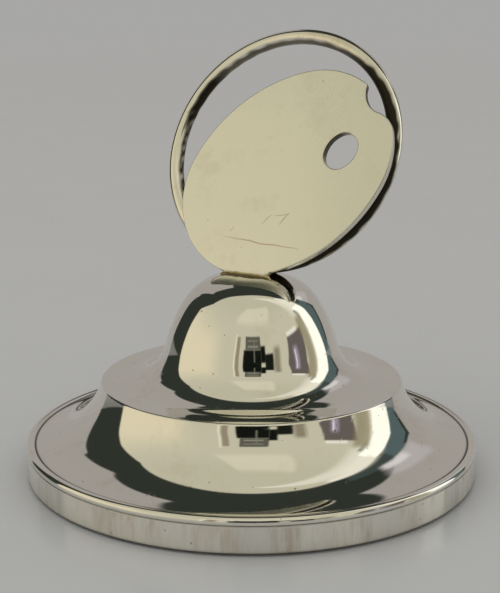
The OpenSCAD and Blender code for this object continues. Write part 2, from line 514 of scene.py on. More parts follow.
def scratches_group() -> bpy.types.NodeTree:
    """Fine polishing scratches: thin level lines of noise stretched in three directions.

    Each direction keeps only the lines where a slower noise is high, so they are short
    and lie apart.

    Returns:
        A group from Vector and Sparse to Lines, 1 on a scratch.
    """
    g = new_group("fine_scratches", {"Vector": VECTOR, "Sparse": FLOAT}, {"Lines": FLOAT})
    vector, sparse = g.tree.nodes[0].outputs[:2]
    total = None
    for turn, scale in ((0.5, 900.0), (1.9, 1200.0), (2.7, 700.0)):
        stretched = g.turned(vector, (turn, 0.6 * turn, turn), (1.0, 0.06, 0.5))
        level = g.math("SUBTRACT", g.noise(stretched, scale, 1.0), 0.5)
        edge = g.ease(g.math("ABSOLUTE", level), 0.0, 0.012, 1.0, 0.0)
        where = g.math("GREATER_THAN", g.noise(vector, 0.4 * scale, 1.0), sparse)
        some = g.times(edge, where)
        total = some if total is None else g.math("MAXIMUM", total, some)
    return close_group(g, {"Lines": total})


def specks_group() -> bpy.types.NodeTree:
    """Small pits and tarnish specks: a few cells of a cell pattern get a round dot.

    Returns:
        A group from Vector, Scale and Share of the cells to Dots, 1 in a dot.
    """
    sockets = {"Vector": VECTOR, "Scale": FLOAT, "Share": FLOAT}
    g = new_group("pits_and_specks", sockets, {"Dots": FLOAT})
    vector, scale, share = g.tree.nodes[0].outputs[:3]
    cells = g.add("ShaderNodeTexVoronoi", {"Vector": vector, "Scale": scale})
    draws = g.add("ShaderNodeSeparateColor", {0: cells.outputs["Color"]}).outputs
    chosen = g.math("LESS_THAN", draws[0], share)
    size = g.math("MULTIPLY_ADD", draws[1], 0.25, 0.06)
    dot = g.ease(g.math("SUBTRACT", size, cells.outputs["Distance"]), 0.0, 0.08)
    return close_group(g, {"Dots": g.times(dot, chosen)})


def tarnish_group() -> bpy.types.NodeTree:
    """Cloudy tarnish: a coarse noise times a fine one, let through above a level.

    Returns:
        A group from Vector and Scale to Cloud, from 0 to 1.
    """
    g = new_group("tarnish_cloud", {"Vector": VECTOR, "Scale": FLOAT}, {"Cloud": FLOAT})
    vector, scale = g.tree.nodes[0].outputs[:2]
    fine = g.noise(vector, 1500.0, 3.0, 0.7)
    both = g.math("MULTIPLY_ADD", g.noise(vector, scale, 3.0), 0.7, g.times(fine, 0.3))
    return close_group(g, {"Cloud": g.ease(both, 0.5, 0.68)})


def mark_group() -> bpy.types.NodeTree:
    """One scratch across the palette: how close a place is to a short straight line.

    Places on the palette are told by their X and Z. The place is compared with the nearest
    point of the line, and noise frays the edge.

    Returns:
        A group from Vector, the start Across and Up, the Run and Climb to the end and the
        Width, all lengths, to Mark, 1 in the scratch.
    """
    lengths = {name: FLOAT for name in ("Across", "Up", "Run", "Climb", "Width")}
    g = new_group("scratch_mark", {"Vector": VECTOR, **lengths}, {"Mark": FLOAT})
    vector, across, up, run, climb, width = g.tree.nodes[0].outputs[:6]
    x, _, z = g.add("ShaderNodeSeparateXYZ", {0: vector}).outputs
    frayed = g.math("MULTIPLY_ADD", g.noise(vector, 500.0, 2.0), 0.0004, -0.0002)
    off = (g.math("SUBTRACT", x, across), g.math("ADD", g.math("SUBTRACT", z, up), frayed))
    way = (run, climb)

    def dot(a: tuple[Socket, Socket], b: tuple[Socket, Socket]) -> Socket:
        """The products of the first two and of the last two, added."""
        return g.math("ADD", g.times(a[0], b[0]), g.times(a[1], b[1]))

    share = g.math("DIVIDE", dot(off, way), dot(way, way), clamp=True)
    gap = tuple(g.math("SUBTRACT", o, g.times(share, w)) for o, w in zip(off, way))
    taper = g.times(share, g.math("SUBTRACT", 1.0, share))
    reach = g.times(width, g.math("MULTIPLY_ADD", taper, 3.0, 0.25))
    far = g.math("DIVIDE", g.math("SQRT", dot(gap, gap)), reach)
    return close_group(g, {"Mark": g.math("SUBTRACT", 1.0, far, clamp=True)})


def build_groups() -> dict[str, bpy.types.NodeTree]:
    """Builds each shared effect once.

    Returns:
        The groups by what they draw.
    """
    return {
        "scratches": scratches_group(),
        "specks": specks_group(),
        "tarnish": tarnish_group(),
        "mark": mark_group(),
    }


# ---------------------------------------------------------------- finishes


# The palette's scratches, in millimetres: X and Z of one end, how far it runs and climbs, and
# its width.
SCRATCHES = (
    (-3.1, 19.5, 7.3, -0.45, 0.09),
    (-2.6, 19.9, 0.3, 0.5, 0.05),
    (0.25, 20.7, 0.75, 0.85, 0.07),
    (1.85, 20.8, 0.75, 1.05, 0.08),
    (1.3, 21.5, 1.4, 0.2, 0.05),
)


@dataclass(frozen=True)
class Silver:
    """Old polished silver: warm metal with tarnish, specks, scratches, dark joints and painted
    shade.
    """

    name: str
    colour: Colour = (0.86, 0.83, 0.755)
    tarnish: Colour = (0.42, 0.30, 0.16)
    dirt_and_shade: Colour = (0.035, 0.028, 0.02)
    roughness: float = 0.045
    tarnish_share: float = 0.12
    speck_share: float = 0.05
    scratch_depth: float = 0.0006
    speck_scale: float = 2600.0
    cloud_scale: float = 260.0
    sparse: float = 0.66
    # How much duller a scratch, a stain and the mask of old polish and painted shade are than the
    # bare metal.
    dulled: tuple[float, float, float] = (0.10, 0.25, 0.4)
    smudge: float = 0.0
    smudge_top: float = 2.4
    marks: tuple[tuple[float, ...], ...] = ()

    def build(self, groups: dict[str, bpy.types.NodeTree]) -> bpy.types.Material:
        """Builds the material.

        Args:
            groups: The shared effects.

        Returns:
            The material.
        """
        material, g, shader = new_material(self.name)
        where = g.add("ShaderNodeTexCoord").outputs["Object"]
        lines = g.use(groups["scratches"], where, self.sparse)
        dots = g.use(groups["specks"], where, self.speck_scale, self.speck_share)
        cloud = g.use(groups["tarnish"], where, self.cloud_scale)
        grime_and_shade = g.add("ShaderNodeAttribute", attribute_name="grime_and_shade").outputs["Fac"]
        stain = g.math("MAXIMUM", g.times(cloud, self.tarnish_share), g.times(dots, 0.7))
        if self.smudge:
            stain = g.math("MAXIMUM", stain, self.handling(g, where))
        metal = g.mix(stain, self.colour, self.tarnish)
        # The grime attribute mixes the metal towards near black: old polish and dark joints, and
        # painted shade and painted dark reflection where the pieces put it.
        colour = g.mix(grime_and_shade, metal, self.dirt_and_shade)
        worn: float | Socket = self.roughness
        for dull, share in zip((lines, stain, grime_and_shade), self.dulled):
            worn = g.math("MULTIPLY_ADD", dull, share, worn, clamp=dull is grime_and_shade)
        hollow = g.math("ADD", lines, dots)
        for mark in self.marks:
            drawn = g.use(groups["mark"], where, *(length * MM for length in mark))
            colour = g.mix(g.times(drawn, 0.75), colour, self.tarnish)
            hollow = g.math("MAXIMUM", hollow, drawn)
        normal = g.bump(g.times(hollow, -1.0), self.scratch_depth)
        looks = {"Base Color": colour, "Roughness": worn, "Normal": normal, "Metallic": 1.0}
        g.feed(shader, looks)
        return material

    def handling(self, g: Graph, where: Socket) -> Socket:
        """Upright smudges low on the piece: noise stretched along Z, times a broad cloud.

        Args:
            g: The material's graph.
            where: Object coordinates.

        Returns:
            How stained the metal is, from 0 to the smudge's strength.
        """
        height = g.add("ShaderNodeSeparateXYZ", {0: where}).outputs[2]
        low = g.ease(height, (self.smudge_top - 0.3) * MM, self.smudge_top * MM, 1.0, 0.0)
        upright = g.turned(where, (0, 0, 0), (1, 1, 0.15))
        streaks = g.ease(g.noise(upright, 1100.0, 4.0, 0.7), 0.42, 0.72)
        broad = g.ease(g.noise(where, 170.0, 2.0), 0.4, 0.65, 0.25, 1.0)
        return g.times(streaks, broad, low, self.smudge)


@dataclass(frozen=True)
class Plain:
    """A matt stuff with cloudy colour and a grainy surface, such as felt, card or pitch."""

    name: str
    light: Colour
    dark: Colour
    grain: float
    depth: float
    roughness: float
    stretch: tuple[float, float, float] = (1.0, 1.0, 1.0)

    def build(self) -> bpy.types.Material:
        """Builds the material.

        Returns:
            The material.
        """
        material, g, shader = new_material(self.name)
        where = g.add("ShaderNodeTexCoord").outputs["Object"]
        stretched = g.turned(where, (0.0, 0.0, 0.4), self.stretch)
        fine = g.noise(stretched, self.grain, 6.0, 0.7)
        broad = g.noise(where, self.grain / 12, 3.0)
        share = g.math("MULTIPLY_ADD", fine, 0.6, g.times(broad, 0.4))
        colour = g.mix(g.ease(share, 0.35, 0.65), self.dark, self.light)
        rough = g.math("MULTIPLY_ADD", fine, 0.1, self.roughness - 0.05)
        normal = g.bump(fine, self.depth)
        g.feed(shader, {"Base Color": colour, "Roughness": rough, "Normal": normal})
        return material


def new_material(name: str) -> tuple[bpy.types.Material, Graph, bpy.types.Node]:
    """Starts a material with an output and a Principled shader.

    Args:
        name: Name of the material.

    Returns:
        The material, its graph and its shader.
    """
    material = bpy.data.materials.new(name)
    material.use_nodes = True
    g = Graph(material.node_tree)
    g.tree.nodes.clear()
    shader = g.add("ShaderNodeBsdfPrincipled")
    g.add("ShaderNodeOutputMaterial", {"Surface": shader.outputs[0]})
    return material, g, shader


# ---------------------------------------------------------------- base


@dataclass
class Base:
    """Spun shell of the base, the bell-shaped dome on it and the felt below."""

    flare_radius: float = 6.55
    crease_height: float = 2.8
    bead_radius: float = 0.38
    bead_proud: float = 0.08
    shoulder_radius: float = 0.22
    tier_radius: float = 12.65
    lip_width: float = 1.9
    wall: float = 0.5
    rim_round: float = 0.1
    groove: float = 0.03
    dome_radius: float = 7.23
    waist_height: float = 2.95
    waist_lean: float = math.radians(13.6)
    dome_top_radius: float = 4.65
    dome_flat_radius: float = 1.7
    dome_ledge: float = 0.8
    sunk: float = 0.03
    felt_free: float = 0.03
    felt_lift: float = 0.02
    felt_round: float = 0.15
    # Turns, unevenness and seed: the same for shell and dome, so they stay flush.
    spin: tuple[int, float, int] = (360, 0.006, 3)
    felt_spin: tuple[int, float, int] = (220, 0.008, 21)

    def __post_init__(self) -> None:
        """Reads the sizes that the frame settles."""
        low, high = span("base_shell")
        dome_high = span("dome_cap")[1]
        self.radius, self.foot, self.tier = high[0], low[2], high[2]
        self.dome_top = dome_high[2]
        self.band = self.radius - self.bead_proud
        self.crease = np.array([self.radius - 2 * self.bead_radius, self.crease_height])
        edge = np.array([self.tier_radius, self.tier])
        self.flare = meet(self.crease, self.flare_radius, edge, self.flare_radius, Side.RIGHT)
        rise = self.flare[1] - self.tier + self.shoulder_radius
        reach = math.sqrt((self.flare_radius + self.shoulder_radius) ** 2 - rise**2)
        self.shoulder = np.array([self.flare[0] - reach, self.tier - self.shoulder_radius])
        self.dome_crown = np.array([self.dome_flat_radius, self.dome_top - self.dome_top_radius])
        waist = np.array([self.dome_radius, self.tier + self.waist_height])
        way = np.array([math.cos(self.waist_lean), math.sin(self.waist_lean)])
        off = waist - self.dome_crown
        gap = off @ way - self.dome_top_radius
        self.dome_side_radius = (off @ off - self.dome_top_radius**2) / (2 * gap)
        self.dome_side = waist - way * self.dome_side_radius
        self.hollow_radius = self.waist_height / (1 - way[1])
        self.hollow = waist + way * self.hollow_radius

    def shell_profile(self) -> np.ndarray:
        """Closed section of the shell, anticlockwise from the inner edge of the lip.

        Returns:
            Points (r, z).
        """
        bead = np.array([self.radius, self.crease_height]) - self.bead_radius * np.array([1, 0.5])
        low_turn = -math.acos((self.band - bead[0]) / self.bead_radius)
        top_turn = math.pi - math.asin((self.crease_height - bead[1]) / self.bead_radius)
        under_bead = bead[1] + self.bead_radius * math.sin(low_turn)
        corner = np.array([self.band - self.rim_round, self.foot + self.rim_round])
        lip = self.band - self.lip_width
        start = bearing(self.flare, self.crease) + TURN
        end = bearing(self.flare, self.shoulder) + TURN
        out = bearing(self.shoulder, self.flare)
        hole = self.dome_radius - self.wall - self.dome_ledge
        inner_radius, inner_tier = self.flare_radius + self.wall, self.tier - self.wall
        inner_top = math.pi + math.asin((self.flare[1] - inner_tier) / inner_radius)
        inner_shoulder = self.flare[0] + inner_radius * math.cos(inner_top)
        drop = self.flare[1] - self.crease_height + self.wall
        inner_low = math.pi + math.asin(drop / inner_radius)
        inner_band = self.band - self.wall
        return chain(
            line((lip, self.foot), corner + (0, -self.rim_round), 8),
            arc(corner, self.rim_round, -math.pi / 2, 0, 7),
            line((self.band, corner[1]), (self.band, under_bead - 2 * self.groove), 22),
            (self.band - self.groove, under_bead - self.groove),
            arc(bead, self.bead_radius, low_turn, top_turn, 26),
            self.crease,
            arc(self.flare, self.flare_radius, start, end, 110),
            arc(self.shoulder, self.shoulder_radius, out, math.pi / 2, 12),
            line((self.shoulder[0], self.tier), (hole, self.tier), 40),
            line((hole, inner_tier), (inner_shoulder, inner_tier), 6),
            arc(self.flare, inner_radius, inner_top, inner_low, 16),
            (inner_band, self.crease_height - self.wall),
            (inner_band, self.foot + self.wall),
            (lip, self.foot + self.wall),
        )

    def make_shell(self, dress: Dress) -> bpy.types.Object:
        """Turns the shell.

        Args:
            dress: Its finish, its slot and the nodes that it stands for.

        Returns:
            The piece.
        """
        profile = self.shell_profile()
        under_bead = (self.band, self.crease_height - 1.2 * self.bead_radius)
        # Painted shade: a painted contact shadow round the foot and a painted dark line in the
        # groove under the bead; the crease line is partly tarnish and partly painted shade.
        grime_and_shade = near(profile, self.crease, 0.09) + 0.8 * near(profile, under_bead, 0.05)
        grime_and_shade += 0.9 * near(profile, (self.band, self.foot), 0.12)
        return revolve("spun_base_shell", profile, dress, *self.spin, grime_and_shade)

    def dome_profile(self) -> np.ndarray:
        """Closed section of the dome from its inner pole round to its outer pole.

        Returns:
            Points (r, z).
        """
        join = bearing(self.dome_side, self.dome_crown)
        wide, inner_top = self.hollow_radius + self.wall, self.dome_top - self.wall
        lean, low = self.waist_lean, 1.5 * math.pi
        inner_low = math.pi + math.acos(math.sqrt(1 - (self.hollow_radius / wide) ** 2))
        sunk = self.tier - self.sunk
        return chain(
            line((0, inner_top), (self.dome_flat_radius, inner_top), 4),
            arc(self.dome_crown, self.dome_top_radius - self.wall, math.pi / 2, join, 10),
            arc(self.dome_side, self.dome_side_radius - self.wall, join, lean, 10),
            arc(self.hollow, wide, math.pi + lean, inner_low, 10),
            (self.hollow[0] + wide * math.cos(inner_low), sunk),
            (self.hollow[0], sunk),
            arc(self.hollow, self.hollow_radius, low, math.pi + lean, 90),
            arc(self.dome_side, self.dome_side_radius, lean, join, 60),
            arc(self.dome_crown, self.dome_top_radius, join, math.pi / 2, 70),
            line((self.dome_flat_radius, self.dome_top), (0, self.dome_top), 12),
        )

    def make_dome(self, dress: Dress) -> bpy.types.Object:
        """Turns the dome's section, in the finish of its dress, and gives the piece."""
        return revolve("dome_shell", self.dome_profile(), dress, *self.spin)

    def make_felt(self, dress: Dress) -> bpy.types.Object:
        """Turns the felt: a disc with a soft edge and a slightly lumpy face.

        Args:
            dress: Its finish, its slot and the nodes that it stands for.

        Returns:
            The piece.
        """
        low, high = span("felt_pad")
        radius, soft, face = high[0] - self.felt_free, self.felt_round, low[2] + self.felt_lift
        profile = chain(
            line((0, face), (radius - soft, face), 60),
            arc(np.array([radius - soft, face + soft]), soft, -math.pi / 2, 0, 6),
            line((radius, face + soft + 0.01), (radius, high[2]), 5),
            line((radius, high[2]), (0, high[2]), 10),
        )
        return revolve("felt_underside", profile, dress, *self.felt_spin)


# ---------------------------------------------------------------- uprights


# Painted dark reflection and shade on the ring, with some old polish at its foot, by the angle
# from its foot, to the right: from which angle round the wire it reaches, up to which, and how
# black it is.
BLACK_FROM = (
    (0.0, -1.6), (0.3, -1.6), (0.5, 0.1), (1.42, 0.1), (1.6, 0.5), (1.9, 0.8), (2.2, 1.2),
    (2.5, 1.8), (2.8, 2.3), (3.9, 2.35), (4.1, 2.0), (4.5, 2.05), (4.65, 2.5), (5.6, 2.4),
    (5.8, -1.6),
)
BLACK_TO = ((0.0, 4.5), (1.42, 4.4), (1.7, 3.4), (5.6, 3.5), (5.9, 4.5))
BLACK_SHARE = ((0.0, 1.0), (2.4, 1.0), (2.8, 0.8), (3.2, 0.7), (3.9, 0.8), (4.1, 1.0))


@dataclass
class Uprights:
    """Palette plate and ring, which lean back together, and the solder at their feet."""

    lean: float = math.radians(25.5)
    foot_x: float = -0.45
    foot_y: float = 1.5
    wire: float = 0.66
    filed: float = 0.15
    ring: float = 10.4
    plate_back: float = 1.16
    plate_thick: float = 0.6
    edge_round: float = 0.13
    half_length: float = 10.13
    half_width: float = 8.1
    end_radius: float = 7.44
    tilt: float = math.radians(43)
    centre: tuple[float, float] = (1.67, 7.88)
    foot_width: float = 4.4
    foot_set: float = 0.2
    foot_low: float = -1.6
    foot_taper: float = 0.5
    notch: float = 2.05
    notch_deep: float = 1.1
    notch_turn: float = math.radians(44)
    tip: float = 0.5
    heel: float = 2.2
    hole_half: tuple[float, float] = (1.64, 1.32)
    hole_end: float = 1.2
    hole_tilt: float = math.radians(58)
    hole_place: tuple[float, float] = (5.0, 1.75)
    sunk: float = 0.05
    face_rows: int = 34
    quarter_rows: int = 7
    ring_steps: tuple[int, int] = (420, 56)
    ring_uneven: float = 0.008
    solder_steps: int = 70
    solder_size: float = 0.52
    solder_sunk: float = 0.012
    fillet_steps: int = 60
    fillet_size: float = 0.9

    def __post_init__(self) -> None:
        """Reads the height of the dome's top from the frame and places the finger notch."""
        self.floor = span("dome_cap")[1][2]
        self.foot_z = self.floor + self.wire - self.filed
        self.way = np.array([math.cos(self.tilt), math.sin(self.tilt)])
        self.end = np.array(self.centre) + self.way * (self.half_length - self.end_radius)
        toward = np.array([math.cos(self.notch_turn), math.sin(self.notch_turn)])
        self.notch_centre = self.end + (self.end_radius + self.notch - self.notch_deep) * toward
        self.notch_bed = self.notch_centre - self.notch * toward

    def stand(self, u: np.ndarray, v: np.ndarray, w: np.ndarray) -> np.ndarray:
        """Leans flat places back: u runs right, v up the slope and w forwards off it.

        Args:
            u: Right of the ring's foot.
            v: Up the slope from the ring's foot.
            w: In front of the ring's plane.

        Returns:
            The points, none lower than just inside the dome's top.
        """
        up, ahead = math.cos(self.lean), math.sin(self.lean)
        v = np.maximum(v, (self.floor - self.sunk - self.foot_z - w * ahead) / up)
        y = self.foot_y + v * ahead - w * up
        z = self.foot_z + v * up + w * ahead
        return np.stack(np.broadcast_arrays(self.foot_x + u, y, z), -1)

    @staticmethod
    def oval(half: tuple[float, float], end: float, tilt: float, centre: np.ndarray) -> np.ndarray:
        """Oval of four arcs, anticlockwise from the start of its far end.

        The side arcs are centred on the short axis, where they touch both end arcs.

        Args:
            half: Half its length and half its width.
            end: Radius of its two ends.
            tilt: Angle of its long axis.
            centre: Its centre.

        Returns:
            Points of the outline.
        """
        reach = half[0] - end
        side = (half[1] ** 2 + reach**2 - end**2) / (2 * (half[1] - end))
        drop = side - half[1]
        turn = math.atan2(drop, reach)
        points = chain(
            arc((reach, 0), end, -turn, turn, 120),
            arc((0, -drop), side, turn, math.pi - turn, 120),
            arc((-reach, 0), end, math.pi - turn, math.pi + turn, 120),
            arc((0, drop), side, math.pi + turn, TURN - turn, 120),
        )
        c, s = math.cos(tilt), math.sin(tilt)
        return points @ np.array([[c, s], [-s, c]]) + centre

    def outline(self) -> np.ndarray:
        """Outline of the palette, anticlockwise from the lower left of its foot.

        Returns:
            Points (u, v).
        """
        centre, end, notch = np.array(self.centre), self.end, self.notch_centre
        heel = meet(end, self.end_radius - self.heel, notch, self.notch + self.heel, Side.RIGHT)
        tip = meet(end, self.end_radius - self.tip, notch, self.notch + self.tip, Side.LEFT)
        oval = self.oval((self.half_length, self.half_width), self.end_radius, self.tilt, centre)
        left, right = self.foot_set - self.foot_width / 2, self.foot_set + self.foot_width / 2
        turn = np.arctan2(oval[:, 1] - end[1], oval[:, 0] - end[0])
        clear = (oval[:, 1] > centre[1]) | (oval[:, 0] < left) | (oval[:, 0] > right)
        before = clear & (turn < bearing(end, heel)) & (oval[:, 0] > right)
        after = clear & ~before & ((turn > bearing(end, tip)) | (oval[:, 0] < left))
        rising, falling = oval[before], oval[after]
        rising = rising[np.argsort(np.arctan2(rising[:, 1] - end[1], rising[:, 0] - end[0]))]
        swing = (np.arctan2(falling[:, 1] - centre[1], falling[:, 0] - centre[0])) % TURN
        falling = falling[np.argsort(swing)]
        low, tapered = self.foot_low, (left + self.foot_taper, right - self.foot_taper)
        return chain(
            line((tapered[0], low), (tapered[1], low), 10),
            line((tapered[1], low), (right, rising[0, 1]), 4)[1:],
            rising,
            arc(heel, self.heel, bearing(end, heel), bearing(heel, notch), 24),
            arc(notch, self.notch, bearing(notch, heel) % TURN, bearing(notch, tip) % TURN, 30),
            arc(tip, self.tip, bearing(tip, notch), bearing(end, tip), 16),
            falling,
            line((left, falling[-1, 1]), (tapered[0], low), 4),
        )

    def make_plate(self, dress: Dress) -> bpy.types.Object:
        """Sweeps the plate's section round it: out over the front, over the edge and back.

        The rows run from the thumb hole to the outline on the front, then round the
        rolled edge, back over the rear and through the hole, so the plate closes on
        itself both ways. From hole to outline each column bends over one point: half way
        between its ends, or, towards the foot, on a circle round the middle of the oval.

        Args:
            dress: Its finish, its slot and the nodes that it stands for.

        Returns:
            The piece.
        """
        outer, way = self.outline()[:-1], self.way
        aside = np.array([way[1], -way[0]])
        hole_c = np.array(self.centre) + way * self.hole_place[0] + aside * self.hole_place[1]
        hole = self.oval(self.hole_half, self.hole_end, self.hole_tilt, hole_c)[:-1]
        seen = np.unwrap(np.arctan2(outer[:, 1] - hole_c[1], outer[:, 0] - hole_c[0]))
        ahead = np.maximum.accumulate(seen)
        behind = np.minimum.accumulate(seen[::-1])[::-1]
        seen = 0.75 * (ahead + behind) / 2 + 0.25 * even_from(seen)
        turn = np.arctan2(hole[:, 1] - hole_c[1], hole[:, 0] - hole_c[0]) % TURN
        order = np.argsort(turn)
        wide = np.linalg.norm(hole - hole_c, axis=1)[order]
        reach = np.interp(seen % TURN, turn[order], wide, period=TURN)
        inner = hole_c + reach[:, None] * np.stack([np.cos(seen), np.sin(seen)], -1)
        rows, heights = self.section(outer, inner)
        points = self.stand(rows[..., 0], rows[..., 1], heights[:, None] + self.plate_back)
        dark = self.plate_grime_and_shade(rows, points[..., 2] - self.floor, outer, seen)
        faces = grid_faces(len(rows), len(outer), True, True).tolist()
        return make_piece("palette", points.reshape(-1, 3), faces, dress, dark.ravel())

    def plate_grime_and_shade(
        self, rows: np.ndarray, height: np.ndarray, outer: np.ndarray, seen: np.ndarray
    ) -> np.ndarray:
        """Old polish at the plate's foot, painted shade on the edge in the notch and on one side
        of the hole's wall, and darker towards the right and the top.

        Args:
            rows: The plate's rows of places.
            height: How far each place is above the dome's top.
            outer: Outline of the plate.
            seen: Angle of each column about the thumb hole.

        Returns:
            The old polish and painted shade at each point.
        """
        row = np.arange(len(rows))[:, None]
        edge, hole = self.face_rows, 2 * (self.face_rows + self.quarter_rows - 1)
        foot = near(height[..., None], (0.0,), 0.16)
        rim = between(row, edge + 2, edge + 2 * self.quarter_rows, 1.5)
        # Painted shade on the plate's edge in the notch.
        notch = 0.9 * rim * near(outer, self.notch_bed, 1.6)
        # Painted shade on the upper left of the thumb hole's wall.
        through = 0.85 * (row >= hole) * np.clip(1.4 * np.cos(seen - math.radians(150)), 0, 1)
        # Darker towards the right and the top of the plate.
        right, top = (rows[..., 0] - 2) / 7, (rows[..., 1] - 12) / 5
        darker_right_top = 0.09 * (np.clip(right, 0, 1) + 0.4 * np.clip(top, 0, 1))
        return np.max(np.broadcast_arrays(foot, notch, through, darker_right_top), axis=0)

    def section(self, outer: np.ndarray, inner: np.ndarray) -> tuple[np.ndarray, np.ndarray]:
        """Rows of the plate from the hole over the front, the edge and the back.

        Args:
            outer: Outline of the plate.
            inner: Point of the thumb hole that faces each point of the outline.

        Returns:
            The rows of places, and how far each row stands in front of the plate's back.
        """
        r, t = self.edge_round, self.plate_thick
        quarter = np.linspace(0, np.pi / 2, self.quarter_rows)[1:]
        share = (1 - np.cos(np.linspace(0, np.pi, self.face_rows)))[:, None, None] / 2
        outer_in, inner_in = inset(outer, r), inset(inner, -r)
        middle = np.array(self.centre)
        low = np.clip((middle[1] - outer[:, 1:]) / self.half_width, 0, 1) ** 3
        side = np.unwrap(np.arctan2(outer[:, 1] - middle[1], outer[:, 0] - middle[0]))
        side = 0.6 * side + 0.4 * even_from(side)
        round_middle = middle + self.half_width / 2 * np.stack([np.cos(side), np.sin(side)], -1)
        bend = (1 - low) * (inner_in + outer_in) / 2 + low * round_middle
        face = (1 - share) ** 2 * inner_in + 2 * share * (1 - share) * bend + share**2 * outer_in
        over = [inset(outer, r * (1 - math.sin(a))) for a in quarter]
        through = [inset(inner, -r * (1 - math.sin(a))) for a in quarter]
        rows = np.stack([*face, *over, *over[::-1], *face[::-1], *through, *through[::-1]])
        fall = r * (1 - np.cos(quarter))
        rise = t - fall
        flat = np.ones(len(share))
        heights = np.concatenate([t * flat, rise, fall[::-1], 0 * flat, fall, rise[::-1]])
        return rows, heights

    def make_ring(self, dress: Dress) -> bpy.types.Object:
        """Carries a circle round a circle: the ring's radius plus the wire's times a cosine.

        Args:
            dress: Its finish, its slot and the nodes that it stands for.

        Returns:
            The piece.
        """
        along, across = self.ring_steps
        round_ring = np.linspace(0, TURN, along, endpoint=False)[:, None]
        round_wire = np.linspace(0, TURN, across, endpoint=False)[None, :]
        wire = self.wire * (1 + self.ring_uneven * ripple(round_ring, np.zeros((1, 1)), WAVES, 17))
        out = self.ring + wire * np.cos(round_wire)
        u = out * np.sin(round_ring)
        v = self.ring - out * np.cos(round_ring)
        points = self.stand(u, v, wire * np.sin(round_wire)).reshape(-1, 3)
        faces = grid_faces(along, across, True, True).tolist()
        return make_piece("ring", points, faces, dress, self.ring_old_polish_and_shade(round_ring, round_wire))

    @staticmethod
    def ring_old_polish_and_shade(round_ring: np.ndarray, round_wire: np.ndarray) -> np.ndarray:
        """Painted dark reflection and shade, with some old polish at the foot: black low on the
        right and inside the ring.

        The black starts at one angle round the wire and ends at another, and its edges
        wander a little. The tables give both angles, and how black it is, along the ring.

        Args:
            round_ring: Angle round the ring from its foot, to the right.
            round_wire: Angle round the wire from its outer side over the front.

        Returns:
            How black each point is.
        """
        seam = 1.7
        around = (round_wire + seam) % TURN - seam
        around = around + 0.12 * ripple(3 * round_ring, 2 * round_wire, 7, 4)
        mottle = np.clip(0.85 + 0.3 * ripple(5 * round_ring, 4 * round_wire, WAVES, 6), 0, 1)
        # Over this stretch of the ring the painted black is mottled.
        worn = between(round_ring, 4.5, 5.7, 0.1)
        begin, end = follow(round_ring, BLACK_FROM), follow(round_ring, BLACK_TO)
        covered = between(around, begin, end, 0.2) * follow(round_ring, BLACK_SHARE)
        return covered * (1 - worn + worn * mottle)

    def make_plate_solder(self, base: Base, dress: Dress) -> bpy.types.Object:
        """Runs solder along the front of the plate's foot, hollow in section, lumpy in length.

        Each section is an arc that touches the dome's top and the plate, closed by the
        corner between them. Its size follows an arch that is steep at both ends.

        Args:
            base: The base, for the dome's fall away from its flat top.
            dress: Its finish, its slot and the nodes that it stands for.

        Returns:
            The piece.
        """
        reach = self.plate_back + self.plate_thick
        drop = (self.foot_z - self.floor) * math.sin(self.lean)
        y0 = self.foot_y - (reach + drop) / math.cos(self.lean)
        half = self.foot_width / 2 + 0.2
        across = np.sin(np.linspace(-np.pi / 2, np.pi / 2, self.solder_steps))
        x = self.foot_x + self.foot_set + half * across
        lumps = 1 + 0.12 * ripple(3 * across, 0 * across, 6, 9)
        size = self.solder_size * (1 - across**6) ** 0.5 * lumps + 0.02
        turn = np.linspace(0, 1, 9)[:, None]
        leg = size * math.tan(math.pi / 4 - self.lean / 2)
        y = y0 - leg * (1 - turn) ** 2 + leg * math.sin(self.lean) * turn**2
        z = leg * math.cos(self.lean) * turn**2
        y, z = np.vstack([y, np.full_like(x, y0 + 0.1)]), np.vstack([z, np.full_like(x, -0.1)])
        fall = np.maximum(np.hypot(x, y) - base.dome_flat_radius, 0)
        z = z + self.floor - fall**2 / (2 * base.dome_top_radius) - self.solder_sunk
        points, faces = capped(np.stack([np.broadcast_to(x, y.shape), y, z], -1))
        return make_piece("plate_solder", points, faces, dress, np.full(len(points), 0.15))

    def make_ring_solder(self, base: Base, dress: Dress) -> bpy.types.Object:
        """Runs solder up behind the ring's foot, between the wire and the dome's shoulder.

        Args:
            base: The base, for the dome's crown.
            dress: Its finish, its slot and the nodes that it stands for.

        Returns:
            The piece.
        """
        low, high = span("ring_solder")
        half = (high[0] - low[0]) / 2
        share = np.sin(np.linspace(-np.pi / 2, np.pi / 2, self.fillet_steps))
        x = self.foot_x + half * share
        rows = []
        wire_c = np.array([self.foot_y, self.foot_z])
        for place, part in zip(x, share):
            size = self.fillet_size * max(1 - part**4, 0.02) ** 0.5
            crown_r = base.dome_top_radius - place**2 / 14
            foot = wire_c + (0, place**2 / (2 * self.ring))
            centre = meet(foot, self.wire + size, base.dome_crown, crown_r + size, Side.RIGHT)
            start, end = bearing(centre, foot), bearing(centre, base.dome_crown)
            section = arc(centre, size, start, end, 12)
            rows.append(np.vstack([section, (foot + section[-1]) / 2 - (0.2, 0.25)]))
        rows = np.stack(rows, 1)
        rows = [np.broadcast_to(x, rows.shape[:2]), rows[..., 0], rows[..., 1]]
        points, faces = capped(np.stack(rows, -1))
        return make_piece("ring_solder_fillet", points, faces, dress, np.full(len(points), 0.08))


def even_from(angle: np.ndarray) -> np.ndarray:
    """Angles spread evenly round from the first of those given."""
    return angle[0] + TURN * np.arange(len(angle)) / len(angle)


